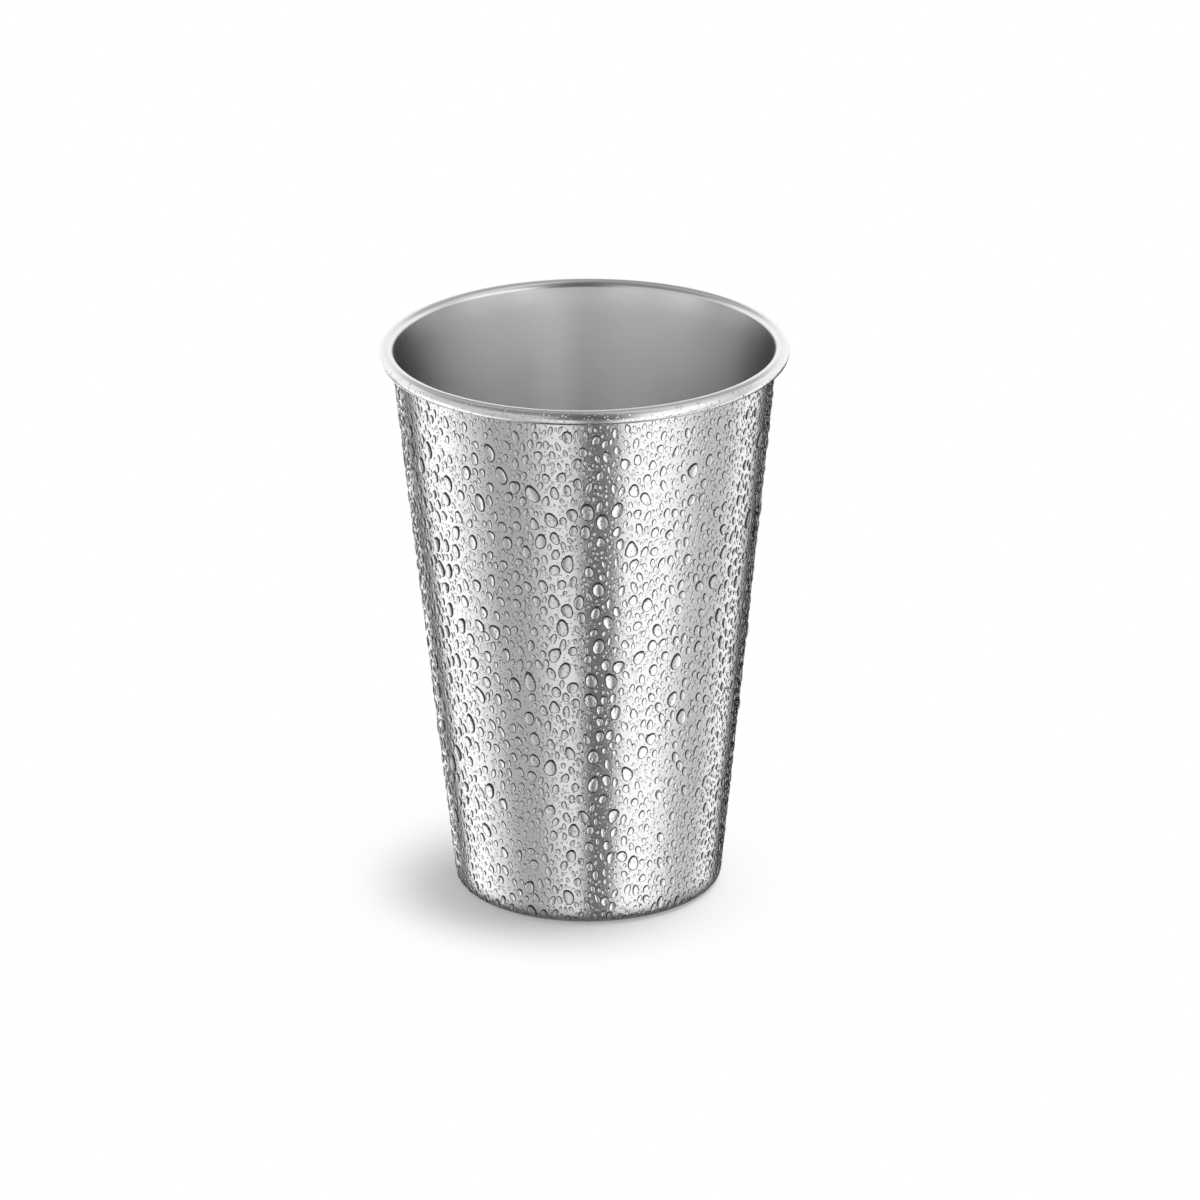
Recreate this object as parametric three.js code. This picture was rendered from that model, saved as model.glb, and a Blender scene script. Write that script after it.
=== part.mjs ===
// A single-wall stainless steel drinking cup, in millimetres, +Z up, standing on z = 0 about the z axis.
// It is made of three pieces: a tapered wall whose lip is rolled outwards, the round wire that the lip is
// rolled over, and a pressed base pan that is welded edge to edge to the foot of the wall.
import * as THREE from "three";

// Driving dimensions of the cup
const CUP_HEIGHT = 123; // floor to the top of the rolled rim
const RIM_DIAMETER = 88; // over the outside of the rolled rim
const BASE_DIAMETER = 57.4; // outside of the tapered wall, carried down to the floor
const WALL_SHEET = 0.5; // steel sheet of the wall
const BASE_SHEET = 0.5; // steel sheet of the base pan

// Rolled rim and its wire
const BEAD_DIAMETER = 3.2; // outside of the roll, seen in section
const WIRE_CLEARANCE = 0.1; // between the wire and the inside of the roll, all round
const ROLL_EDGE_GAP = 0.3; // between the cut edge of the roll and the wall that it turns back to

// Pressed base
const CORNER_RADIUS = 2.5; // outside bend between the wall and the standing ring
const SKIRT_HEIGHT = 6; // floor to the weld that joins the base pan to the wall
const RING_WIDTH = 3; // flat width of the standing ring
const PANEL_RECESS = 2; // lift of the middle panel above the standing ring
const STEP_BEND_RADIUS = 1.2; // middle of the sheet, at both bends of the step up to the panel
const STEP_ANGLE = THREE.MathUtils.degToRad(55); // slope of that step

// Fineness of the facets
const TURN_SEGMENTS = 64; // facets round the z axis
const BEND_STEP = THREE.MathUtils.degToRad(20); // most that one facet of a bend turns
const WIRE_SIDES = 12;

// Places that follow from the sizes
const beadRadius = BEAD_DIAMETER / 2;
const rollBore = beadRadius - WALL_SHEET; // inside radius of the roll
const beadCentre = new THREE.Vector2(RIM_DIAMETER / 2 - beadRadius, CUP_HEIGHT - beadRadius);

// The outside of the wall starts at the base radius on the floor and is tangent to the inside of the roll.
const baseRadius = BASE_DIAMETER / 2;
const baseToBead = new THREE.Vector2(beadCentre.x - baseRadius, beadCentre.y);
const taper = Math.atan2(baseToBead.x, baseToBead.y) - Math.asin(rollBore / baseToBead.length());
const wallInward = new THREE.Vector2(-Math.cos(taper), Math.sin(taper));

// The weld is a joint square to the wall, through this point on its outside.
const weldPoint = new THREE.Vector2(wallRadius(SKIRT_HEIGHT), SKIRT_HEIGHT);

const steel = (color, roughness) => new THREE.MeshStandardMaterial({ color, roughness, metalness: 1 });
const wallSteel = steel(0xc3c4c6, 0.22);
const baseSteel = steel(0xb9babc, 0.26);
const wireSteel = steel(0xa9aaac, 0.35);

/** Radius of the wall's outside at a height. */
function wallRadius(height) {
  return baseRadius + height * Math.tan(taper);
}

/**
 * The middle line of a bent sheet, drawn as it is formed: straight runs and bends, one after another.
 * Headings are angles in the section, where 0 points away from the axis and a quarter turn points up.
 */
class SheetLine {
  constructor(radius, height, heading) {
    this.place = new THREE.Vector2(radius, height);
    this.heading = heading;
    this.stations = [];
    this.mark();
  }

  /** Keeps the place reached and the direction across the sheet there, to the left of the way it runs. */
  mark() {
    const across = new THREE.Vector2(-Math.sin(this.heading), Math.cos(this.heading));
    this.stations.push({ place: this.place.clone(), across });
  }

  straight(length) {
    this.place.x += length * Math.cos(this.heading);
    this.place.y += length * Math.sin(this.heading);
    this.mark();
    return this;
  }

  /** Runs straight on until it is level with a point, measured square to the way it runs. */
  straightTo(point) {
    const along = new THREE.Vector2(Math.cos(this.heading), Math.sin(this.heading));
    return this.straight(point.clone().sub(this.place).dot(along));
  }

  /** Turns by an angle, positive to the left, about a centre one radius away. */
  bend(radius, angle) {
    const steps = Math.ceil(Math.abs(angle) / BEND_STEP);
    const side = Math.sign(angle);
    const centre = this.place.clone();
    centre.x -= side * radius * Math.sin(this.heading);
    centre.y += side * radius * Math.cos(this.heading);
    for (let step = 0; step < steps; step += 1) {
      this.heading += angle / steps;
      this.place.x = centre.x + side * radius * Math.sin(this.heading);
      this.place.y = centre.y - side * radius * Math.cos(this.heading);
      this.mark();
    }
    return this;
  }

  /** One face of the sheet, half a thickness to the left (+1) or to the right (-1) of the middle line. */
  face(thickness, side) {
    const offset = (side * thickness) / 2;
    return this.stations.map(({ place, across }) => place.clone().addScaledVector(across, offset));
  }
}

/** A closed section in radius and height, turned once round the z axis. */
function turned(section) {
  return new THREE.LatheGeometry(section, TURN_SEGMENTS).rotateX(Math.PI / 2);
}

/** The wall: a tapered sheet from the weld up to the rim, where it rolls outwards and down over the wire. */
function cupWall() {
  const start = weldPoint.clone().addScaledVector(wallInward, WALL_SHEET / 2);
  const line = new SheetLine(start.x, start.y, Math.PI / 2 - taper);
  const edgeAngle = Math.acos((rollBore - ROLL_EDGE_GAP) / beadRadius);
  line.straightTo(beadCentre).bend(beadRadius - WALL_SHEET / 2, edgeAngle - 2 * Math.PI);
  const outside = line.face(WALL_SHEET, -1);
  const inside = line.face(WALL_SHEET, 1).reverse();
  return turned([...outside, ...inside, outside[0]]);
}

/** The wire that the lip is rolled over, a ring of round wire that fills the roll. */
function rimWire() {
  const wireRadius = rollBore - WIRE_CLEARANCE;
  const ring = new THREE.TorusGeometry(beadCentre.x, wireRadius, WIRE_SIDES, TURN_SEGMENTS);
  return ring.translate(0, 0, beadCentre.y);
}

/** The base pan: a raised middle panel, a step down to the standing ring, a round corner and a short skirt. */
function basePan() {
  const cornerCentre = wallRadius(CORNER_RADIUS) - CORNER_RADIUS / Math.cos(taper);
  const bendRise = 2 * STEP_BEND_RADIUS * (1 - Math.cos(STEP_ANGLE));
  const slope = (PANEL_RECESS - bendRise) / Math.sin(STEP_ANGLE);
  const stepRun = 2 * STEP_BEND_RADIUS * Math.sin(STEP_ANGLE) + slope * Math.cos(STEP_ANGLE);
  const panelRadius = cornerCentre - RING_WIDTH - stepRun;
  const cornerTurn = Math.PI / 2 - taper;

  const line = new SheetLine(0, PANEL_RECESS + BASE_SHEET / 2, 0);
  line.straight(panelRadius);
  line.bend(STEP_BEND_RADIUS, -STEP_ANGLE).straight(slope).bend(STEP_BEND_RADIUS, STEP_ANGLE);
  line.straight(RING_WIDTH);
  line.bend(CORNER_RADIUS - BASE_SHEET / 2, cornerTurn).straightTo(weldPoint);
  return turned([...line.face(BASE_SHEET, -1), ...line.face(BASE_SHEET, 1).reverse()]);
}

const cup = new THREE.Group();
cup.name = "steel_cup";

function addPiece(name, geometry, material) {
  const mesh = new THREE.Mesh(geometry, material);
  mesh.name = name;
  cup.add(mesh);
}

addPiece("cup_wall", cupWall(), wallSteel);
addPiece("rim_wire", rimWire(), wireSteel);
addPiece("base_pan", basePan(), baseSteel);

export default cup;
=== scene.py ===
"""A single-wall stainless steel cup, chilled and beaded with water, built around its CAD frame."""

import math
import random
from typing import NamedTuple

import bmesh
import bpy
import numpy as np
from bpy.props import FloatProperty, FloatVectorProperty, IntProperty, PointerProperty
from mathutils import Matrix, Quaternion, Vector, noise


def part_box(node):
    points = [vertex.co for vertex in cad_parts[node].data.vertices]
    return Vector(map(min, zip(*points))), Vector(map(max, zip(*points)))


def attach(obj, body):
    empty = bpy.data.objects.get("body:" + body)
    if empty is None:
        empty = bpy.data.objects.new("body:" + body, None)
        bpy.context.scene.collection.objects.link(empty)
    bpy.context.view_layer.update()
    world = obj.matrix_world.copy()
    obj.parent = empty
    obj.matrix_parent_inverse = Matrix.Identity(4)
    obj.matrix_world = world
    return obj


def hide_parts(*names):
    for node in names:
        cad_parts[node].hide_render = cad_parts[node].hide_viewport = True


bl_info = {
    "name": "Chilled steel cup",
    "version": (1, 0, 0),
    "blender": (4, 5, 0),
    "location": "View3D > Sidebar > Cup",
    "description": "Builds a steel cup with a rolled rim and beads of water, and a studio to show it in",
    "category": "Add Mesh",
}

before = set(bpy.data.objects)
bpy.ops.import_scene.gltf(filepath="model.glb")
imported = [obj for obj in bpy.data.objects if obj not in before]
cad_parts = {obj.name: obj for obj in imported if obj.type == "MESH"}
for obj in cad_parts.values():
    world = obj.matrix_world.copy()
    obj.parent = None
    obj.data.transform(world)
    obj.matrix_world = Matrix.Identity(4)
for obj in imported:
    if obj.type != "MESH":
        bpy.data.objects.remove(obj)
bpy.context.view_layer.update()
wire_low, wire_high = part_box("rim_wire")
WIRE_RADIUS = (wire_high.z - wire_low.z) / 2

BODY = "root"

# Fineness of the meshes
ROUND_SEGMENTS = 256
WALL_ROWS = 24
CURL_STEPS = 30
CORNER_STEPS = 10
STEP_BEND_STEPS = 6
SMOOTH_ANGLE = math.radians(30)
RING_TOLERANCE = 1e-6


# Sizes and colours that a user would change


class CupSheetMetal(bpy.types.PropertyGroup):
    """Sizes of the bent sheet that the cup is made of"""

    bead_centre_radius: FloatProperty(
        name="Bead from axis",
        description="From the cup's axis to the middle of the rolled rim, where its wire runs",
        default=wire_high.x - WIRE_RADIUS,
        unit="LENGTH",
        precision=5,
    )
    bead_centre_height: FloatProperty(
        name="Bead height",
        description="From the floor to the middle of the rolled rim",
        default=(wire_low.z + wire_high.z) / 2,
        unit="LENGTH",
        precision=5,
    )
    bead_diameter: FloatProperty(
        name="Bead diameter",
        description="Outside of the roll, seen in section",
        default=0.0032,
        unit="LENGTH",
        precision=5,
    )
    base_diameter: FloatProperty(
        name="Base diameter",
        description="Outside of the tapered wall, carried down to the floor",
        default=0.0574,
        unit="LENGTH",
        precision=5,
    )
    sheet: FloatProperty(
        name="Sheet",
        description="Thickness of the steel sheet",
        default=0.0005,
        unit="LENGTH",
        precision=5,
    )
    roll_edge_gap: FloatProperty(
        name="Roll edge gap",
        description="Between the cut edge of the roll and the wall that it turns back to",
        default=0.0003,
        unit="LENGTH",
        precision=5,
    )
    weld_height: FloatProperty(
        name="Weld height",
        description="From the floor to the joint between the wall and the base pan",
        default=0.006,
        unit="LENGTH",
        precision=5,
    )
    corner_radius: FloatProperty(
        name="Corner radius",
        description="Outside bend between the wall and the standing ring",
        default=0.0025,
        unit="LENGTH",
        precision=5,
    )
    ring_width: FloatProperty(
        name="Ring width",
        description="Flat width of the ring that the cup stands on",
        default=0.003,
        unit="LENGTH",
        precision=5,
    )
    panel_recess: FloatProperty(
        name="Panel recess",
        description="Lift of the base's middle panel above the standing ring",
        default=0.002,
        unit="LENGTH",
        precision=5,
    )
    step_bend: FloatProperty(
        name="Step bend",
        description="Radius of both bends of the step, to the middle of the sheet",
        default=0.0012,
        unit="LENGTH",
        precision=5,
    )
    step_slope: FloatProperty(
        name="Step slope",
        description="Slope of the step between the standing ring and the middle panel",
        default=math.radians(55),
        subtype="ANGLE",
    )


class CupWater(bpy.types.PropertyGroup):
    """How much water has beaded on the cup's outside"""

    seed: IntProperty(name="Seed", description="Another number lays the drops in other places", default=7)
    large_count: IntProperty(name="Large drops", description="Drops that stand out", default=480)
    medium_count: IntProperty(name="Medium drops", description="Drops that show one by one", default=2000)
    small_count: IntProperty(name="Small drops", description="Drops between those", default=6400)
    fine_count: IntProperty(name="Fine drops", description="Specks that fill the rest", default=8600)
    widest_large: FloatProperty(
        name="Widest large drop",
        description="Width of the widest drop of all",
        default=0.003,
        unit="LENGTH",
        precision=5,
    )
    widest_medium: FloatProperty(
        name="Widest medium drop",
        description="Width between the large and the medium drops",
        default=0.0017,
        unit="LENGTH",
        precision=5,
    )
    widest_small: FloatProperty(
        name="Widest small drop",
        description="Width between the medium and the small drops",
        default=0.001,
        unit="LENGTH",
        precision=5,
    )
    widest_fine: FloatProperty(
        name="Widest fine drop",
        description="Width between the small and the fine drops",
        default=0.00055,
        unit="LENGTH",
        precision=5,
    )
    narrowest: FloatProperty(
        name="Narrowest drop",
        description="Width of the finest speck",
        default=0.00028,
        unit="LENGTH",
        precision=5,
    )
    rim_count: IntProperty(name="Rim drops", description="Drops on the rolled rim", default=220)


class CupFinishes(bpy.types.PropertyGroup):
    """Colours of the steel and of the studio"""

    outside_steel: FloatVectorProperty(
        name="Outside steel",
        description="Colour of the wall's outside",
        subtype="COLOR",
        default=(0.62, 0.62, 0.625),
    )
    # Steel's colour, raised well above the wall's steel as painted light, so that the inside reads brighter
    inside_steel_painted_light: FloatVectorProperty(
        name="Inside steel",
        description="Colour of the polished inside",
        subtype="COLOR",
        default=(0.88, 0.88, 0.885),
    )
    # Steel's colour, raised above the wall's steel as painted light, so that the rolled rim reads brighter
    rim_steel_painted_light: FloatVectorProperty(
        name="Rim steel",
        description="Colour of the rolled rim",
        subtype="COLOR",
        default=(0.78, 0.78, 0.785),
    )
    drop_middle: FloatVectorProperty(
        name="Drop, middle",
        description="Tint of the water in the middle of a drop",
        subtype="COLOR",
        default=(1.0, 1.0, 1.0),
    )
    # Painted shade: a dark tint put on the water of a drop's steep edge, standing in for the dark rim that
    # a drop shows where light is bent away from it
    drop_edge_painted_shade: FloatVectorProperty(
        name="Drop, edge",
        description="Tint of the water at a drop's steep edge, where little light comes through",
        subtype="COLOR",
        default=(0.1, 0.1, 0.1),
    )
    wire_steel: FloatVectorProperty(
        name="Wire steel",
        description="Colour of the drawn wire inside the rim",
        subtype="COLOR",
        default=(0.42, 0.42, 0.43),
    )
    floor: FloatVectorProperty(
        name="Floor",
        description="Colour of the studio floor",
        subtype="COLOR",
        default=(1.0, 1.0, 1.0),
    )


class CupStage(bpy.types.PropertyGroup):
    """Camera and lights of the studio"""

    distance: FloatProperty(
        name="Camera distance",
        description="From the point that the camera aims at",
        default=2.0,
        unit="LENGTH",
    )
    elevation: FloatProperty(
        name="Camera elevation",
        description="Height of the camera above the horizon",
        default=math.radians(21.08),
        subtype="ANGLE",
    )
    roll: FloatProperty(
        name="Camera roll",
        description="Turn of the camera about the way it looks",
        default=math.radians(-0.474),
        subtype="ANGLE",
    )
    lens: FloatProperty(name="Lens", description="Focal length in millimetres", default=277.3)
    aim: FloatVectorProperty(
        name="Aim",
        description="Point that is in the middle of the picture",
        subtype="XYZ",
        unit="LENGTH",
        default=(0.00295, 0.0, 0.0641),
    )
    ambient: FloatProperty(
        name="Ambient",
        description="Level of the light from all round, where 1 shows white as white",
        default=0.4,
    )
    key: FloatProperty(
        name="Key",
        description="Level that the key light adds on the floor",
        default=0.6,
    )


# The section of the cup


class CupSection:
    """Places in the cup's section, as radius and height, worked out from its sheet metal's sizes."""

    def __init__(self, sizes):
        self.sheet = sizes.sheet
        self.bead_radius = sizes.bead_diameter / 2
        self.curl_radius = self.bead_radius - sizes.sheet / 2
        self.bead_centre = (sizes.bead_centre_radius, sizes.bead_centre_height)
        self.base_radius = sizes.base_diameter / 2
        self.corner_radius = sizes.corner_radius

        # The wall's outside starts at the base radius on the floor and is tangent to the roll's inside.
        roll_bore = self.bead_radius - sizes.sheet
        across = self.bead_centre[0] - self.base_radius
        up = self.bead_centre[1]
        self.taper = math.atan2(across, up) - math.asin(roll_bore / math.hypot(across, up))
        self.curl_sweep = 2 * math.pi - math.acos((roll_bore - sizes.roll_edge_gap) / self.bead_radius)

        weld_outside = self.wall_radius(sizes.weld_height)
        self.weld_middle = (
            weld_outside - sizes.sheet / 2 * math.cos(self.taper),
            sizes.weld_height + sizes.sheet / 2 * math.sin(self.taper),
        )
        self.corner_centre = (
            self.wall_radius(sizes.corner_radius) - sizes.corner_radius / math.cos(self.taper),
            sizes.corner_radius,
        )
        self.corner_turn = math.pi / 2 - self.taper
        self.corner_length = sizes.corner_radius * self.corner_turn

    def wall_radius(self, height):
        """Radius of the wall's outside at a height."""
        return self.base_radius + height * math.tan(self.taper)

    def curl_place(self, share):
        """A place on the middle of the curled sheet, from 0 where the wall ends to 1 at the cut edge."""
        angle = math.pi - self.taper - share * self.curl_sweep
        return (
            self.bead_centre[0] + self.curl_radius * math.cos(angle),
            self.bead_centre[1] + self.curl_radius * math.sin(angle),
        )

    def wall_length_to(self, height):
        """Distance along the outside from the edge of the standing ring to a height on the wall."""
        corner_top = self.corner_centre[1] - self.corner_radius * math.sin(self.taper)
        return self.corner_length + (height - corner_top) / math.cos(self.taper)

    def on_wall(self, along):
        """Radius, height and outward direction of the outside, by distance up it from the standing ring."""
        bend = np.clip(along, 0, self.corner_length) / self.corner_radius - math.pi / 2
        rise = np.maximum(along - self.corner_length, 0)
        outward = (np.cos(bend), np.sin(bend))
        radius = self.corner_centre[0] + self.corner_radius * outward[0] + rise * math.sin(self.taper)
        height = self.corner_centre[1] + self.corner_radius * outward[1] + rise * math.cos(self.taper)
        return radius, height, outward

    def on_bead(self, along):
        """Radius, height and outward direction of the rolled rim, by distance up from its widest line."""
        angle = along / self.bead_radius
        outward = (np.cos(angle), np.sin(angle))
        radius = self.bead_centre[0] + self.bead_radius * outward[0]
        height = self.bead_centre[1] + self.bead_radius * outward[1]
        return radius, height, outward


# Materials

# The mist on the wall's outside: patches and specks to a metre, the relief they give, the darkest tone of
# the painted shade on the specks, and the roughness
MIST_PATCHES = 90.0
MIST_SPECKS = 1100.0
MIST_DEPTH = 0.00004
MIST_STRENGTH = 0.8
MIST_PAINTED_SHADE = 0.62
MIST_ROUGHNESS = (0.12, 0.24)
FLATTEST_SPECK = 0.2
# From where to where, in its cell, a speck rises and takes its painted shade, and which share of the specks
# is painted dark
SPECK_DOME = (0.5, 0.0)
SPECK_PAINTED_SHADE = (0.4, 0.15)
SPECK_SHADE_CHOICE = (0.25, 0.45)

# The other steels: turned lines to a metre, their depth, and the least and most roughness
TURNED_STEELS = {
    "inside_steel_painted_light": (5200.0, 0.00002, 0.16, 0.3),
    "rim_steel_painted_light": (4200.0, 0.00001, 0.2, 0.3),
    "underside_steel": (3000.0, 0.00003, 0.24, 0.4),
    "drawn_wire_steel": (6000.0, 0.00001, 0.3, 0.45),
}
LINE_DRIFT = 2.5
LINE_STRENGTH = 0.5
SMUDGES = 45.0
SMUDGE_DARKEST = 0.86
WATER_IOR = 1.333


class NodeSheet:
    """A node tree that is filled one node at a time."""

    def __init__(self, tree):
        self.nodes = tree.nodes
        self.links = tree.links
        self.nodes.clear()

    def add(self, kind, inputs=None, **settings):
        """Add a node, with values or other nodes' outputs for its inputs, and give it back."""
        node = self.nodes.new("ShaderNode" + kind)
        for name, value in settings.items():
            setattr(node, name, value)
        for name, value in (inputs or {}).items():
            if isinstance(value, bpy.types.NodeSocket):
                self.links.new(value, node.inputs[name])
            else:
                node.inputs[name].default_value = value
        return node

    def math(self, operation, first, second=0.0):
        """The result of a sum on one or two values."""
        return self.add("Math", {0: first, 1: second}, operation=operation).outputs["Value"]

    def between(self, value, low, high):
        """A share of 0 to 1 as a value from low to high."""
        inputs = {"Value": value, "To Min": low, "To Max": high}
        return self.add("MapRange", inputs).outputs["Result"]

    def axis_distance(self, parts):
        """How far a place, given by its separated coordinates, is from the cup's axis."""
        flat = self.add("CombineXYZ", {"X": parts["X"], "Y": parts["Y"]}).outputs["Vector"]
        return self.add("VectorMath", {0: flat}, operation="LENGTH").outputs["Value"]

    def smooth(self, value, start, end, low=0.0, high=1.0):
        """A smooth step from low to high as a value goes from start to end."""
        inputs = {"Value": value, "From Min": start, "From Max": end, "To Min": low, "To Max": high}
        return self.add("MapRange", inputs, interpolation_type="SMOOTHSTEP").outputs["Result"]

    def blend(self, share, first, second):
        """One value where the share is 0, another where it is 1."""
        return self.add("Mix", {0: share, 2: first, 3: second}).outputs["Result"]

    def cylinder_place(self, round_scale, line_scale):
        """Coordinates that change slowly round the cup's axis and quickly across the turned lines."""
        place = self.add("TexCoord").outputs["Object"]
        parts = self.add("SeparateXYZ", {"Vector": place}).outputs
        flat = self.add("CombineXYZ", {"X": parts["X"], "Y": parts["Y"]}).outputs["Vector"]
        heading = self.add("VectorMath", {0: flat}, operation="NORMALIZE").outputs["Vector"]
        scaled = {0: heading, "Scale": round_scale}
        turned = self.add("VectorMath", scaled, operation="SCALE").outputs["Vector"]
        across = self.math("ADD", parts["Z"], self.axis_distance(parts))
        line = self.add("CombineXYZ", {"Z": self.math("MULTIPLY", across, line_scale)}).outputs["Vector"]
        return self.add("VectorMath", {0: turned, 1: line}, operation="ADD").outputs["Vector"]


def new_material(name):
    """A material with an empty node tree, and the sheet to fill it."""
    material = bpy.data.materials.new(name)
    material.use_nodes = True
    return material, NodeSheet(material.node_tree)


def close_material(sheet, shader):
    """Lead the finished shader to the material's surface."""
    sheet.add("OutputMaterial", {"Surface": shader.outputs[0]})


def steel_colour(sheet, colour, smudges_and_painted_shade, darkest):
    """Steel whose tone drifts darker where a share falls: by smudge noise on the turned steels, and by the
    painted shade of the specks on the misted outside.
    """
    deep = [channel * darkest for channel in colour]
    fade = sheet.add("ValToRGB", {"Fac": smudges_and_painted_shade})
    fade.color_ramp.elements[0].color = (*deep, 1)
    fade.color_ramp.elements[1].color = (*colour, 1)
    return fade.outputs["Color"]


def misted_steel(colour):
    """The outside: satin steel under a film of water specks that are too small to model, with painted shade
    darkening the middle of some specks.
    """
    material, sheet = new_material("misted_steel")
    place = sheet.add("TexCoord").outputs["Object"]
    patches = sheet.add("TexNoise", {"Vector": place, "Scale": MIST_PATCHES, "Detail": 3.0}).outputs["Fac"]
    cells = sheet.add("TexVoronoi", {"Vector": place, "Scale": MIST_SPECKS}).outputs
    chosen = sheet.add("SeparateColor", {"Color": cells["Color"]}).outputs["Red"]
    domes = sheet.smooth(cells["Distance"], *SPECK_DOME)
    mist = sheet.math("MULTIPLY", domes, sheet.between(chosen, FLATTEST_SPECK, 1.0))
    relief = {"Height": mist, "Distance": MIST_DEPTH, "Strength": MIST_STRENGTH}
    bump = sheet.add("Bump", relief).outputs["Normal"]
    # Painted shade: the middles of some specks are darkened in the steel's colour, standing in for the dark
    # that a water speck shows
    painted_shade_spots = sheet.smooth(cells["Distance"], *SPECK_PAINTED_SHADE)
    painted_speck_shade = sheet.math("MULTIPLY", painted_shade_spots, sheet.smooth(chosen, *SPECK_SHADE_CHOICE))
    clear = sheet.math("SUBTRACT", 1.0, painted_speck_shade)
    steel = sheet.add(
        "BsdfPrincipled",
        {
            "Base Color": steel_colour(sheet, colour, clear, MIST_PAINTED_SHADE),
            "Metallic": 1.0,
            "Roughness": sheet.between(patches, *MIST_ROUGHNESS),
            "Normal": bump,
        },
    )
    close_material(sheet, steel)
    return material


def turned_steel(name, colour):
    """Steel with fine lines that run round the cup, as polishing on a spindle leaves them."""
    line_scale, line_depth, smoothest, roughest = TURNED_STEELS[name]
    material, sheet = new_material(name)
    place = sheet.add("TexCoord").outputs["Object"]
    smudges_and_painted_shade = sheet.add("TexNoise", {"Vector": place, "Scale": SMUDGES, "Detail": 4.0}).outputs["Fac"]
    line_place = sheet.cylinder_place(LINE_DRIFT, line_scale)
    lines = sheet.add("TexNoise", {"Vector": line_place, "Scale": 1.0, "Detail": 5.0}).outputs["Fac"]
    relief = {"Height": lines, "Distance": line_depth, "Strength": LINE_STRENGTH}
    bump = sheet.add("Bump", relief).outputs["Normal"]
    worn = sheet.math("MULTIPLY", sheet.math("ADD", lines, smudges_and_painted_shade), 0.5)
    steel = sheet.add(
        "BsdfPrincipled",
        {
            "Base Color": steel_colour(sheet, colour, smudges_and_painted_shade, SMUDGE_DARKEST),
            "Metallic": 1.0,
            "Roughness": sheet.between(worn, smoothest, roughest),
            "Normal": bump,
        },
    )
    close_material(sheet, steel)
    return material


def water_finish(name, colour):
    """Water of one colour: clear for a drop's middle, and tinted dark as painted shade for its steep edge.
    """
    material, sheet = new_material(name)
    water = sheet.add(
        "BsdfPrincipled",
        {"Base Color": (*colour, 1), "Roughness": 0.0, "IOR": WATER_IOR, "Transmission Weight": 1.0},
    )
    close_material(sheet, water)
    return material


# Modelling steps that several pieces share


def take_new_piece(name):
    """Name the primitive that was just added and put its place into its mesh."""
    piece = bpy.context.active_object
    piece.name = name
    piece.data.name = name
    bpy.ops.object.transform_apply(location=True, rotation=True, scale=True)
    return piece


def select_ring(piece, place):
    """In edit mode, select only the ring of edges at a radius and height."""
    bpy.ops.mesh.select_mode(type="EDGE")
    bpy.ops.mesh.select_all(action="DESELECT")
    shape = bmesh.from_edit_mesh(piece.data)
    for edge in shape.edges:
        misses = [
            math.hypot(math.hypot(corner.co.x, corner.co.y) - place[0], corner.co.z - place[1])
            for corner in edge.verts
        ]
        if max(misses) < RING_TOLERANCE:
            edge.select_set(True)
    bmesh.update_edit_mesh(piece.data)


def draw_ring(start, end):
    """Draw the selected ring of edges out from one radius and height to another."""
    bpy.ops.mesh.extrude_edges_move(TRANSFORM_OT_translate={"value": (0, 0, end[1] - start[1])})
    spread = end[0] / start[0]
    bpy.ops.transform.resize(value=(spread, spread, 1), center_override=(0, 0, 0))


def thicken(piece, sheet):
    """Give a bent surface the thickness of its sheet, half to each side, and shade its bends smooth."""
    bpy.ops.object.mode_set(mode="EDIT")
    bpy.ops.mesh.select_all(action="SELECT")
    bpy.ops.mesh.remove_doubles(threshold=RING_TOLERANCE)
    bpy.ops.mesh.normals_make_consistent(inside=False)
    bpy.ops.object.mode_set(mode="OBJECT")
    solidify = piece.modifiers.new("Sheet", "SOLIDIFY")
    solidify.thickness = sheet
    solidify.offset = 0
    solidify.use_even_offset = True
    bpy.ops.object.modifier_apply(modifier=solidify.name)
    bpy.ops.object.shade_smooth_by_angle(angle=SMOOTH_ANGLE)


def paint_faces(piece, materials, choose):
    """Give a piece its materials, and each face the one that choose picks by its place and direction."""
    for material in materials:
        piece.data.materials.append(material)
    for face in piece.data.polygons:
        radius = math.hypot(face.center.x, face.center.y)
        face.material_index = choose(radius, face.center.z, face.normal.z)


def carry(piece, node):
    """Let a piece stand for its CAD node on the cup's one body."""
    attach(piece, BODY)
    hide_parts(node)


# Pieces of the cup


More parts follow.
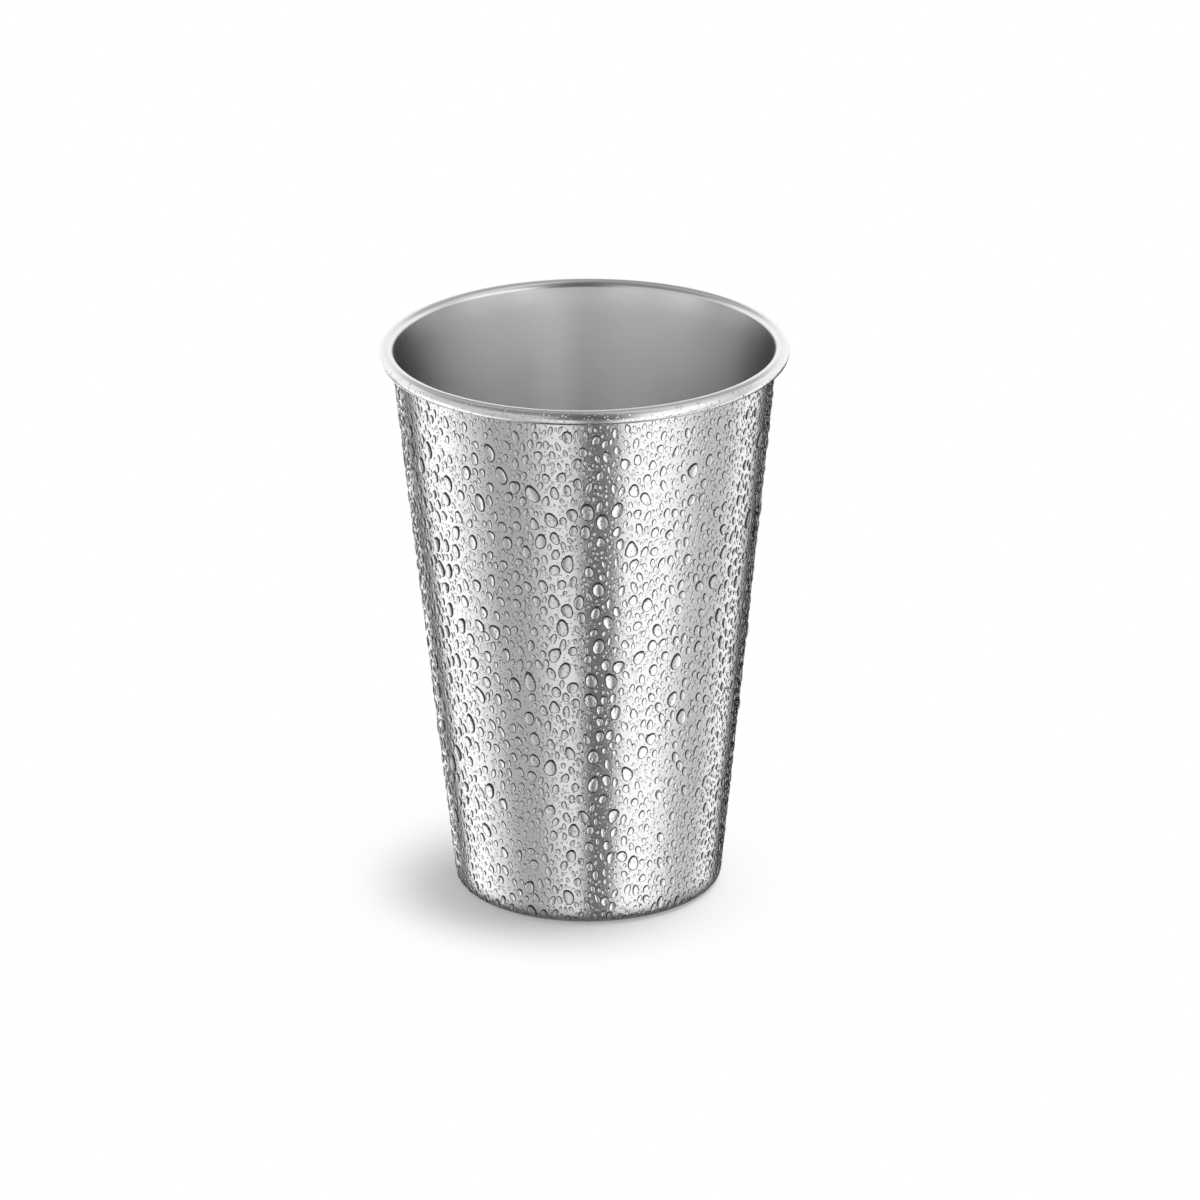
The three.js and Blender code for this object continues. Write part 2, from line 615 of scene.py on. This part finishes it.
class CUP_OT_roll_wall(bpy.types.Operator):
    """Draw up the tapered wall and roll its lip outwards over the wire"""

    bl_idname = "cup.roll_wall"
    bl_label = "Roll the wall"

    def execute(self, context):
        section = CupSection(context.scene.cup_sheet_metal)
        colours = context.scene.cup_finishes
        foot = section.weld_middle
        lip = section.curl_place(0)
        bpy.ops.object.select_all(action="DESELECT")
        bpy.ops.mesh.primitive_cone_add(
            vertices=ROUND_SEGMENTS,
            radius1=foot[0],
            radius2=lip[0],
            depth=lip[1] - foot[1],
            end_fill_type="NOTHING",
            location=(0, 0, (foot[1] + lip[1]) / 2),
        )
        wall = take_new_piece("steel_wall")
        bpy.ops.object.mode_set(mode="EDIT")
        for row in range(1, WALL_ROWS):
            height = foot[1] + (lip[1] - foot[1]) * row / WALL_ROWS
            bpy.ops.mesh.select_all(action="SELECT")
            bpy.ops.mesh.bisect(plane_co=(0, 0, height), plane_no=(0, 0, 1))
        select_ring(wall, lip)
        for step in range(CURL_STEPS):
            draw_ring(section.curl_place(step / CURL_STEPS), section.curl_place((step + 1) / CURL_STEPS))
        thicken(wall, section.sheet)
        outside, inside, rim = range(3)
        bead_reach = section.bead_radius + section.sheet / 2

        def finish_of(radius, height, upward):
            """Outside, inside and rim follow one another along the sheet."""
            from_bead = math.hypot(radius - section.bead_centre[0], height - section.bead_centre[1])
            if from_bead < bead_reach and height > lip[1] - section.bead_radius:
                return rim
            return inside if upward > 0 else outside

        finishes = [
            misted_steel(colours.outside_steel),
            turned_steel("inside_steel_painted_light", colours.inside_steel_painted_light),
            turned_steel("rim_steel_painted_light", colours.rim_steel_painted_light),
        ]
        paint_faces(wall, finishes, finish_of)
        carry(wall, "cup_wall")
        return {"FINISHED"}


class CUP_OT_press_base(bpy.types.Operator):
    """Press the base pan: raised panel, step, standing ring, round corner and skirt up to the weld"""

    bl_idname = "cup.press_base"
    bl_label = "Press the base"

    def execute(self, context):
        sizes = context.scene.cup_sheet_metal
        section = CupSection(sizes)
        middle = sizes.sheet / 2
        step_corner = sizes.step_bend * math.tan(sizes.step_slope / 2)
        skirt_corner = (sizes.corner_radius - middle) * math.tan(section.corner_turn / 2)
        step_foot = (section.corner_centre[0] - sizes.ring_width - step_corner, middle)
        step_run = sizes.panel_recess / math.tan(sizes.step_slope)
        step_head = (step_foot[0] - step_run, middle + sizes.panel_recess)
        ring_edge = (section.corner_centre[0] + skirt_corner, middle)

        bpy.ops.object.select_all(action="DESELECT")
        bpy.ops.mesh.primitive_circle_add(
            vertices=ROUND_SEGMENTS,
            radius=step_head[0],
            fill_type="TRIFAN",
            location=(0, 0, step_head[1]),
        )
        pan = take_new_piece("steel_base")
        bpy.ops.object.mode_set(mode="EDIT")
        select_ring(pan, step_head)
        stations = [step_head, step_foot, ring_edge, section.weld_middle]
        for start, end in zip(stations, stations[1:]):
            draw_ring(start, end)
        bends = [
            (step_head, step_corner, STEP_BEND_STEPS),
            (step_foot, step_corner, STEP_BEND_STEPS),
            (ring_edge, skirt_corner, CORNER_STEPS),
        ]
        for place, offset, steps in bends:
            select_ring(pan, place)
            bpy.ops.mesh.bevel(offset_type="OFFSET", offset=offset, segments=steps, affect="EDGES")
        thicken(pan, sizes.sheet)
        outside, inside, underside = range(3)

        def finish_of(radius, height, upward):
            """The skirt and corner go on from the wall's outside; the underside is plain."""
            if upward > 0:
                return inside
            return outside if radius > section.corner_centre[0] else underside

        wall_finishes = bpy.data.materials
        # The underside takes the inside's colour, which is lightened as painted light
        plain_steel = turned_steel("underside_steel", context.scene.cup_finishes.inside_steel_painted_light)
        finishes = [wall_finishes["misted_steel"], wall_finishes["inside_steel_painted_light"], plain_steel]
        paint_faces(pan, finishes, finish_of)
        carry(pan, "base_pan")
        return {"FINISHED"}


class CUP_OT_draw_wire(bpy.types.Operator):
    """Give the wire inside the rolled rim the finish of drawn wire"""

    bl_idname = "cup.draw_wire"
    bl_label = "Draw the wire"

    def execute(self, context):
        colour = context.scene.cup_finishes.wire_steel
        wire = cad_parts["rim_wire"]
        wire.data.materials.clear()
        wire.data.materials.append(turned_steel("drawn_wire_steel", colour))
        return {"FINISHED"}


# Water

# One drop: its squash, and angles from the top of the sphere that it is cut from
DROP_FLATNESS = 0.85
DROP_WATERLINE = math.radians(71)
DROP_FOOT = math.radians(76.5)
# Below this angle, the faces of a drop's edge are tinted dark as painted shade
DROP_PAINTED_SHADE_EDGE = math.radians(55)
# A face is at a drop's side where it lies further across than this share of its way up or down
DROP_SIDE = 0.5

# How far the drops differ from one another, as shares of their size
WIDTH_BIAS = 1.7
MOST_OVAL = 0.1
MOST_CORNERED = 0.1
MOST_BELLIED = 0.16
SAG = (0.05, 0.3)
MOST_LEAN = 0.4
LEAST_FULLNESS = 0.8
FULL_FRONT = 1.4

# Where the drops lie on the wall, with lengths in metres
DROP_SPACING = 1.06
DROP_TRIES = 40
PATCH_MIDDLE = 0.65
DRIEST_PATCH = 0.25
DRY_FOOT = 0.015
WET_WALL = 0.06
RIM_BAND = 0.02
RIM_CLEARANCE = 0.0002
DRY_CORNER = 0.5

# The drops on the rolled rim
RIM_REACH = math.radians(60)
RIM_FOCUS = 5
RIM_WIDEST = 0.7
RIM_STRETCH = (1.0, 1.2)
RIM_HEIGHTS = (0.35, 0.5)


class DropKind(NamedTuple):
    """What the wall's drops of one range of widths have in common."""

    sides: int
    rings: int
    # True if the painted shade on the drop's edge runs all round, and False if it is at the sides only
    painted_shade_all_round: bool
    # Length to width, and height to half width, both from least to most
    stretch: tuple
    heights: tuple
    # Size of the patches in which the drops crowd, in metres
    patch: float
    # Crowding at the foot, under the rim and away from the wet side, where 1 is as much as elsewhere
    at_foot: float
    under_rim: float
    all_round: float
    # Azimuth of the wet side, and how closely the drops gather there
    wet_side: float
    focus: float


DROP_KINDS = {
    "drops_large": DropKind(
        sides=12,
        rings=11,
        painted_shade_all_round=True,
        stretch=(1.15, 1.6),
        heights=(0.58, 0.72),
        patch=0.014,
        at_foot=0.2,
        under_rim=0.0,
        all_round=0.1,
        wet_side=math.radians(-12),
        focus=8,
    ),
    "drops_medium": DropKind(
        sides=10,
        rings=8,
        painted_shade_all_round=False,
        stretch=(1.3, 2.0),
        heights=(0.62, 0.82),
        patch=0.011,
        at_foot=0.45,
        under_rim=0.5,
        all_round=0.2,
        wet_side=math.radians(-14),
        focus=5,
    ),
    "drops_small": DropKind(
        sides=8,
        rings=4,
        painted_shade_all_round=True,
        stretch=(1.3, 2.1),
        heights=(0.6, 0.85),
        patch=0.009,
        at_foot=0.8,
        under_rim=1.0,
        all_round=0.75,
        wet_side=math.radians(30),
        focus=3,
    ),
    "drops_fine": DropKind(
        sides=6,
        rings=4,
        painted_shade_all_round=True,
        stretch=(1.0, 1.3),
        heights=(0.55, 0.75),
        patch=0.006,
        at_foot=1.0,
        under_rim=1.0,
        all_round=1.0,
        wet_side=0.0,
        focus=3,
    ),
}


def model_drop(kind):
    """Model one round drop as a cap cut from a sphere, and give back its corners, its faces, and which
    faces are tinted dark as painted shade.

    Its half width is 1, it stands on z = 0, and its foot goes a little below, to be sunk in the steel.
    """
    level = math.cos(DROP_WATERLINE) * DROP_FLATNESS
    half_width = math.sin(DROP_WATERLINE)
    bpy.ops.object.select_all(action="DESELECT")
    bpy.ops.mesh.primitive_uv_sphere_add(segments=kind.sides, ring_count=kind.rings, radius=1)
    drop = take_new_piece("drop_pattern")
    bpy.ops.object.mode_set(mode="EDIT")
    bpy.ops.mesh.select_all(action="SELECT")
    foot = (0, 0, math.cos(DROP_FOOT))
    bpy.ops.mesh.bisect(plane_co=foot, plane_no=(0, 0, 1), clear_inner=True, use_fill=True)
    bpy.ops.mesh.select_all(action="SELECT")
    bpy.ops.transform.resize(value=(1, 1, DROP_FLATNESS), center_override=(0, 0, 0))
    bpy.ops.object.mode_set(mode="OBJECT")
    corners = np.array([corner.co for corner in drop.data.vertices])
    corners[:, 2] -= level
    corners /= half_width
    faces = [tuple(face.vertices) for face in drop.data.polygons]
    painted_shade_top = math.cos(DROP_PAINTED_SHADE_EDGE) * DROP_FLATNESS
    dark = []
    # Faces low on the drop's edge take the painted shade: at its sides only, or all round
    for face in drop.data.polygons:
        at_side = abs(face.center.x) > DROP_SIDE * abs(face.center.y)
        dark.append(int(face.center.z < painted_shade_top and (kind.painted_shade_all_round or at_side)))
    mesh = drop.data
    bpy.data.objects.remove(drop)
    bpy.data.meshes.remove(mesh)
    return corners, faces, dark


class DropField:
    """The drops on one surface of the cup, kept apart so that no two run into each other."""

    def __init__(self, surface, lowest, highest, widest_reach):
        self.surface = surface
        self.lowest = lowest
        self.highest = highest
        self.cell = 2 * widest_reach
        self.columns = int(2 * math.pi * float(surface(lowest)[0]) / self.cell)
        self.cells = {}

    def cell_of(self, turn, along):
        """The cell, in a grid round the cup, that holds a place."""
        column = int(turn / (2 * math.pi) * self.columns) % self.columns
        return column, int((along - self.lowest) / self.cell)

    def is_free(self, drop):
        """True if a drop of turn, distance along, half width and half length stays clear of the others."""
        turn, along, half_width, half_length = drop
        radius = float(self.surface(along)[0])
        column, row = self.cell_of(turn, along)
        for near_column in (column - 1, column, column + 1):
            for near_row in (row - 1, row, row + 1):
                for other in self.cells.get((near_column % self.columns, near_row), ()):
                    swing = math.remainder(turn - other[0], 2 * math.pi) * radius
                    wide = swing / (half_width + other[2])
                    tall = (along - other[1]) / (half_length + other[3])
                    if wide * wide + tall * tall < DROP_SPACING * DROP_SPACING:
                        return False
        return True

    def lay(self, chance, count, narrowest, widest, stretch, welcome):
        """Lay drops one by one, the widest first, where there is room and where welcome lets them."""
        spread = math.log(widest / narrowest)
        widths = [narrowest * math.exp(spread * chance.random() ** WIDTH_BIAS) for _ in range(count)]
        laid = []
        for width in sorted(widths, reverse=True):
            for _ in range(DROP_TRIES):
                turn = chance.uniform(0, 2 * math.pi)
                half_length = width / 2 * chance.uniform(*stretch)
                along = chance.uniform(self.lowest + half_length, self.highest - half_length)
                if chance.random() > welcome(turn, along):
                    continue
                drop = (turn, along, width / 2, half_length)
                if self.is_free(drop):
                    self.cells.setdefault(self.cell_of(turn, along), []).append(drop)
                    laid.append(drop)
                    break
        return np.array(laid)


def shape_drops(pattern, drops, surface, heights, seed):
    """Copy the pattern to every drop, with an outline and a lean of its own, laid on the surface."""
    chance = np.random.default_rng(seed)
    count = len(drops)
    turn, along, half_width, half_length = (column[:, None] for column in drops.T)
    x, y, z = (axis[None, :] for axis in pattern.T)
    heading = np.arctan2(y, x)

    def varied(low, high):
        """A value of its own for every drop."""
        return chance.uniform(low, high, count)[:, None]

    oval = varied(0.0, MOST_OVAL) * np.cos(2 * (heading - varied(0, math.pi)))
    corner = varied(0.0, MOST_CORNERED) * np.cos(3 * (heading - varied(0, math.pi)))
    outline = 1 + oval + corner
    belly = 1 - varied(0.0, MOST_BELLIED) * y
    across = x * outline * belly * half_width
    up = (y * outline - varied(*SAG) * np.maximum(z, 0)) * half_length
    fullness = LEAST_FULLNESS + (1 - LEAST_FULLNESS) * np.clip(FULL_FRONT * np.cos(turn), 0, 1)
    out = z * half_width * varied(*heights) * fullness
    lean = varied(-MOST_LEAN, MOST_LEAN)
    side = across * np.cos(lean) - up * np.sin(lean)
    rise = across * np.sin(lean) + up * np.cos(lean)

    start_radius = surface(along)[0]
    radius, height, outward = surface(along + rise)
    angle = turn + side / start_radius
    from_axis = radius + out * outward[0]
    places = np.stack(
        [from_axis * np.sin(angle), -from_axis * np.cos(angle), height + out * outward[1]],
        axis=-1,
    )
    return places.reshape(-1, 3)


def join_drops(name, pattern_faces, dark, corners_each, places, water):
    """One mesh piece of all the drops of a kind, with clear water in their middles and a dark tint as
    painted shade on their edges.
    """
    faces = []
    for first in range(0, len(places), corners_each):
        faces.extend([first + corner for corner in face] for face in pattern_faces)
    mesh = bpy.data.meshes.new(name)
    mesh.from_pydata(places.tolist(), [], faces)
    mesh.shade_smooth()
    for finish in water:
        mesh.materials.append(finish)
    mesh.polygons.foreach_set("material_index", dark * (len(faces) // len(dark)))
    piece = bpy.data.objects.new(name, mesh)
    bpy.context.scene.collection.objects.link(piece)
    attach(piece, BODY)


def share_between(value, start, end):
    """How far a value is on the way from start to end, from 0 to 1."""
    return min(max((value - start) / (end - start), 0.0), 1.0)


def facing(turn, side, focus):
    """How far a place round the cup faces a side: 1 there and 0 opposite, and steeper with more focus."""
    return ((1 + math.cos(turn - side)) / 2) ** focus


def wetness(section, kind):
    """A chance that drifts over the wall in patches, and fades at the foot, rim and dry side."""

    def chance_at(turn, along):
        radius, height, _ = section.on_wall(along)
        place = Vector((radius * math.sin(turn), -radius * math.cos(turn), height)) / kind.patch
        share = min(max(PATCH_MIDDLE + noise.noise(place), DRIEST_PATCH), 1.0)
        climb = share_between(height, DRY_FOOT, WET_WALL)
        below_rim = share_between(section.bead_centre[1] - height, 0.0, RIM_BAND)
        share *= kind.at_foot + (1 - kind.at_foot) * climb
        share *= kind.under_rim + (1 - kind.under_rim) * below_rim**2
        return share * (kind.all_round + (1 - kind.all_round) * facing(turn, kind.wet_side, kind.focus))

    return chance_at


class CUP_OT_bead_water(bpy.types.Operator):
    """Bead water on the outside of the wall and on the rolled rim"""

    bl_idname = "cup.bead_water"
    bl_label = "Bead the water"

    def execute(self, context):
        water = context.scene.cup_water
        section = CupSection(context.scene.cup_sheet_metal)
        colours = context.scene.cup_finishes
        finish = [
            water_finish("water_finish", colours.drop_middle),
            # The second water is tinted dark: painted shade on the drops' steep edges
            water_finish("painted_shade_water", colours.drop_edge_painted_shade),
        ]
        chance = random.Random(water.seed)
        lowest = section.corner_length * DRY_CORNER
        bead_foot = section.bead_centre[1] - section.bead_radius
        highest = section.wall_length_to(bead_foot) - RIM_CLEARANCE
        field = DropField(section.on_wall, lowest, highest, water.widest_large)
        ranges = {
            "drops_large": (water.large_count, water.widest_medium, water.widest_large),
            "drops_medium": (water.medium_count, water.widest_small, water.widest_medium),
            "drops_small": (water.small_count, water.widest_fine, water.widest_small),
            "drops_fine": (water.fine_count, water.narrowest, water.widest_fine),
        }
        for name, (count, narrowest, widest) in ranges.items():
            kind = DROP_KINDS[name]
            pattern, faces, dark = model_drop(kind)
            drops = field.lay(chance, count, narrowest, widest, kind.stretch, wetness(section, kind))
            places = shape_drops(pattern, drops, section.on_wall, kind.heights, water.seed)
            join_drops(name, faces, dark, len(pattern), places, finish)

        pattern, faces, dark = model_drop(DROP_KINDS["drops_small"])
        round_the_bead = section.bead_radius * RIM_REACH
        rim = DropField(section.on_bead, -round_the_bead, round_the_bead, water.widest_small)
        drops = rim.lay(
            chance,
            water.rim_count,
            water.narrowest,
            water.widest_small * RIM_WIDEST,
            RIM_STRETCH,
            lambda turn, along: facing(turn, 0.0, RIM_FOCUS),
        )
        places = shape_drops(pattern, drops, section.on_bead, RIM_HEIGHTS, water.seed)
        join_drops("drops_rim", faces, dark, len(pattern), places, finish)
        return {"FINISHED"}


# Studio

# Panels round the cup, by name: where they start and end, in degrees from the camera's side to the
# right, and their level. The steel mirrors three rows of them, one above another. The drops show one
# row and a plain ceiling.
STEEL_PANELS = {
    "back_left": (-180, -155, 1.5),
    "left_flag": (-146, -133, 0.27),
    "left_softbox": (-121, -98, 1.7),
    "left_grey": (-62, -39, 0.62),
    "front_left_fill": (-21, -8, 1.2),
    "front_flag": (0, 7, 0.19),
    "front_flag_edge": (11, 18, 0.25),
    "right_softbox": (27, 54, 1.6),
    "right_grey": (80, 100, 0.83),
    "right_edge_light": (116, 130, 1.45),
    "right_flag": (144, 172, 0.0),
    "back_right": (178, 180, 0.05),
}
RIM_PANELS = {
    "back_left": (-180, -110, 1.2),
    "left_grey": (-90, -42, 0.75),
    "front_left_fill": (-32, -22, 0.75),
    "front_flag": (-12, 20, 0.12),
    "right_softbox": (34, 70, 1.35),
    "right_grey": (85, 100, 0.8),
    "back_right": (115, 180, 1.2),
}
CEILING_PANELS = {
    "back_left": (-180, -162, 0.36),
    "left_softbox": (-148, -120, 0.55),
    "left_grey": (-75, -20, 0.3),
    "front_flag": (-5, 10, 0.12),
    "right_softbox": (60, 85, 0.9),
    "back_right": (130, 180, 0.5),
}
WATER_PANELS = {
    "back_left": (-180, -157, 1.5),
    "left_flag": (-146, -129, 0.05),
    "left_softbox": (-114, -82, 1.7),
    "left_grey": (-66, -44, 0.55),
    "front_left_fill": (-28, -12, 1.05),
    "front_flag": (3, 10, 0.15),
    "right_softbox": (21, 60, 1.8),
    "right_grey": (76, 94, 0.75),
    "right_edge_light": (104, 115, 1.3),
    "right_flag": (128, 146, 0.05),
    "back_right": (157, 180, 1.2),
}
WATER_CEILING = {
    "all_round": (-180, 180, 0.8),
}
# Each tent: its rows of panels from below, the elevations (in degrees) between which the lowest row
# gives way to the ground, and the ground's level
STEEL_TENT = {
    "rows": (STEEL_PANELS, RIM_PANELS, CEILING_PANELS),
    "ground": (-66, -75),
    "ground_level": 0.03,
}
WATER_TENT = {
    "rows": (WATER_PANELS, WATER_PANELS, WATER_CEILING),
    "ground": (-48, -58),
    "ground_level": 0.8,
}
# Elevations between which the lowest row gives way to the rim's row, and that one to the ceiling
FLAG_TOP = (math.radians(-15), math.radians(-10))
RIM_TOP = (math.radians(30), math.radians(39))
TENT_RADIUS = 1.3
TENT_HEIGHT = 3.2
STAGE_SIDES = 96
FLOOR_SIZE = 8.0
FLOOR_GLOW_NEAR = 0.28
FLOOR_GLOW_FAR = 0.97
SHADOW_INNER_RADIUS = 0.03
SHADOW_OUTER_RADIUS = 0.054
SHADE_INNER_RADIUS = 0.0295
SHADE_OUTER_RADIUS = 0.0345
SHADE_LEVEL = 0.2
SHADE_LIFT = 0.00005
KEY_AZIMUTH = math.radians(115)
KEY_ELEVATION = math.radians(65)
KEY_SOFTNESS = math.radians(50)


def heading(azimuth, elevation):
    """A direction by azimuth, from the camera's side to the right, and elevation above the horizon."""
    level = math.cos(elevation)
    return Vector((math.sin(azimuth) * level, -math.cos(azimuth) * level, math.sin(elevation)))


def panel_ramp(sheet, share, panels):
    """Levels by heading, as a share of a full turn, blended from one panel to the next."""
    ramp = sheet.add("ValToRGB", {"Fac": share})
    elements = ramp.color_ramp.elements
    stops = [(angle, level) for start, end, level in panels.values() for angle in (start, end)]
    while len(elements) < len(stops):
        elements.new(1.0)
    brightest = max(level for _, level in stops)
    for element, (angle, level) in zip(elements, stops):
        element.position = (angle + 180) / 360
        grey = level / brightest
        element.color = (grey, grey, grey, 1)
    return sheet.math("MULTIPLY", ramp.outputs["Color"], brightest)


def panel_light(name, tent):
    """Light of the panels round the cup and above it, and of the ground below them."""
    material, sheet = new_material(name)
    parts = sheet.add("SeparateXYZ", {"Vector": sheet.add("TexCoord").outputs["Object"]}).outputs
    azimuth = sheet.math("ARCTAN2", parts["X"], sheet.math("MULTIPLY", parts["Y"], -1.0))
    elevation = sheet.math("ARCTAN2", parts["Z"], sheet.axis_distance(parts))
    full_turn = {"Value": azimuth, "From Min": -math.pi, "From Max": math.pi}
    share = sheet.add("MapRange", full_turn).outputs["Result"]
    walls, rims, ceiling = (panel_ramp(sheet, share, panels) for panels in tent["rows"])
    ground = [math.radians(angle) for angle in tent["ground"]]
    level = sheet.blend(sheet.smooth(elevation, *FLAG_TOP), walls, rims)
    level = sheet.blend(sheet.smooth(elevation, *RIM_TOP), level, ceiling)
    level = sheet.blend(sheet.smooth(elevation, *ground), level, tent["ground_level"])
    close_material(sheet, sheet.add("Emission", {"Color": (1, 1, 1, 1), "Strength": level}))
    return material


def raise_tent(name, plan):
    """A round, closed tent of panels that only mirrored or refracted light can reach."""
    bpy.ops.object.select_all(action="DESELECT")
    bpy.ops.mesh.primitive_circle_add(
        vertices=STAGE_SIDES,
        radius=TENT_RADIUS,
        fill_type="NGON",
        location=(0, 0, -TENT_HEIGHT / 2),
    )
    tent = take_new_piece(name)
    bpy.ops.object.mode_set(mode="EDIT")
    foot = (TENT_RADIUS, -TENT_HEIGHT / 2)
    select_ring(tent, foot)
    draw_ring(foot, (TENT_RADIUS, TENT_HEIGHT / 2))
    bpy.ops.mesh.edge_face_add()
    bpy.ops.object.mode_set(mode="OBJECT")
    tent.data.materials.append(panel_light(name, plan))
    show_only_in_mirrors(tent)
    return tent


def floor_finish(colour):
    """A matt, pale floor that glows where it is looked at, so that its shadow is light and fades out."""
    material, sheet = new_material("studio_floor")
    parts = sheet.add("SeparateXYZ", {"Vector": sheet.add("TexCoord").outputs["Object"]}).outputs
    radius = sheet.axis_distance(parts)
    glow_share = sheet.smooth(
        radius, SHADOW_INNER_RADIUS, SHADOW_OUTER_RADIUS, FLOOR_GLOW_NEAR, FLOOR_GLOW_FAR
    )
    matt = sheet.add("BsdfDiffuse", {"Color": (*colour, 1)})
    glow = sheet.add("Emission", {"Color": (*colour, 1), "Strength": 1.0})
    looked_at = sheet.add("LightPath").outputs["Is Camera Ray"]
    share = sheet.math("MULTIPLY", looked_at, glow_share)
    close_material(sheet, sheet.add("MixShader", {0: share, 1: matt.outputs[0], 2: glow.outputs[0]}))
    return material


def contact_shade():
    """The dark of the floor close to the cup's foot, which the steel mirrors, fading out all round."""
    material, sheet = new_material("contact_shade")
    parts = sheet.add("SeparateXYZ", {"Vector": sheet.add("TexCoord").outputs["Object"]}).outputs
    clear = sheet.smooth(sheet.axis_distance(parts), SHADE_INNER_RADIUS, SHADE_OUTER_RADIUS)
    dark = sheet.add("Emission", {"Color": (1, 1, 1, 1), "Strength": SHADE_LEVEL})
    gap = sheet.add("BsdfTransparent")
    close_material(sheet, sheet.add("MixShader", {0: clear, 1: dark.outputs[0], 2: gap.outputs[0]}))
    return material


def show_only_in_mirrors(stage_piece):
    """Let the steel and the water show a stage piece that nothing else sees or is shaded by."""
    stage_piece.visible_camera = False
    stage_piece.visible_diffuse = False
    stage_piece.visible_shadow = False
    stage_piece.visible_volume_scatter = False


def light_sky(ambient):
    """White all round: full white where it is seen or mirrored, and softer where it lights."""
    world = bpy.data.worlds.new("studio_sky")
    bpy.context.scene.world = world
    world.use_nodes = True
    sheet = NodeSheet(world.node_tree)
    path = sheet.add("LightPath").outputs
    mirrored = sheet.math("MAXIMUM", path["Is Glossy Ray"], path["Is Transmission Ray"])
    seen = sheet.math("MAXIMUM", path["Is Camera Ray"], mirrored)
    strength = sheet.between(seen, ambient, 1.0)
    sky = sheet.add("Background", {"Color": (1, 1, 1, 1), "Strength": strength})
    sheet.add("OutputWorld", {"Surface": sky.outputs[0]})


class CUP_OT_set_stage(bpy.types.Operator):
    """Set the floor, the panels that the steel mirrors, the lights and the camera"""

    bl_idname = "cup.set_stage"
    bl_label = "Set the stage"

    def execute(self, context):
        stage = context.scene.cup_stage
        bpy.ops.object.select_all(action="DESELECT")
        bpy.ops.mesh.primitive_plane_add(size=FLOOR_SIZE)
        floor = take_new_piece("studio_floor")
        floor.data.materials.append(floor_finish(context.scene.cup_finishes.floor))
        floor.visible_glossy = False
        floor.visible_transmission = False

        steel_tent = raise_tent("steel_panels", STEEL_TENT)
        steel_tent.visible_transmission = False
        water_tent = raise_tent("water_panels", WATER_TENT)
        water_tent.visible_glossy = False

        bpy.ops.object.select_all(action="DESELECT")
        bpy.ops.mesh.primitive_circle_add(
            vertices=STAGE_SIDES,
            radius=SHADE_OUTER_RADIUS,
            fill_type="NGON",
            location=(0, 0, SHADE_LIFT),
        )
        shade = take_new_piece("contact_shade")
        shade.data.materials.append(contact_shade())
        show_only_in_mirrors(shade)

        light_sky(stage.ambient)
        bpy.ops.object.light_add(type="SUN", location=heading(KEY_AZIMUTH, KEY_ELEVATION))
        key = context.object
        key.name = "key_light"
        key.rotation_euler = heading(KEY_AZIMUTH, KEY_ELEVATION).to_track_quat("Z", "Y").to_euler()
        key.data.energy = stage.key * math.pi / math.sin(KEY_ELEVATION)
        key.data.angle = KEY_SOFTNESS
        key.visible_glossy = False
        key.visible_transmission = False

        aim = Vector(stage.aim)
        back = heading(0, stage.elevation)
        bpy.ops.object.camera_add(location=aim + back * stage.distance)
        camera = context.object
        camera.name = "picture_camera"
        look = (-back).to_track_quat("-Z", "Y")
        camera.rotation_euler = (look @ Quaternion((0, 0, 1), stage.roll)).to_euler()
        camera.data.lens = stage.lens
        context.scene.camera = camera
        context.scene.view_settings.view_transform = "Standard"
        return {"FINISHED"}


# Panel and registration


class CUP_PT_build(bpy.types.Panel):
    """Lists the steps that build the cup, in order"""

    bl_idname = "CUP_PT_build"
    bl_label = "Chilled steel cup"
    bl_space_type = "VIEW_3D"
    bl_region_type = "UI"
    bl_category = "Cup"

    def draw(self, context):
        layout = self.layout
        for operator in OPERATORS:
            layout.operator(operator.bl_idname)
        for name, group in GROUPS.items():
            box = layout.box()
            settings = getattr(context.scene, name)
            for size in group.__annotations__:
                box.prop(settings, size)


GROUPS = {
    "cup_sheet_metal": CupSheetMetal,
    "cup_water": CupWater,
    "cup_finishes": CupFinishes,
    "cup_stage": CupStage,
}
OPERATORS = (
    CUP_OT_roll_wall,
    CUP_OT_press_base,
    CUP_OT_draw_wire,
    CUP_OT_bead_water,
    CUP_OT_set_stage,
)


def register():
    """Make the settings, the steps and the sidebar panel known to Blender."""
    for group in GROUPS.values():
        bpy.utils.register_class(group)
    for name, group in GROUPS.items():
        setattr(bpy.types.Scene, name, PointerProperty(type=group))
    for operator in OPERATORS:
        bpy.utils.register_class(operator)
    bpy.utils.register_class(CUP_PT_build)


def unregister():
    """Take the sidebar panel, the steps and the settings away again."""
    bpy.utils.unregister_class(CUP_PT_build)
    for operator in reversed(OPERATORS):
        bpy.utils.unregister_class(operator)
    for name, group in GROUPS.items():
        delattr(bpy.types.Scene, name)
        bpy.utils.unregister_class(group)


def main():
    """Build the cup and its stage."""
    register()
    bpy.ops.cup.roll_wall()
    bpy.ops.cup.press_base()
    bpy.ops.cup.draw_wire()
    bpy.ops.cup.bead_water()
    bpy.ops.cup.set_stage()


if __name__ == "__main__":
    main()
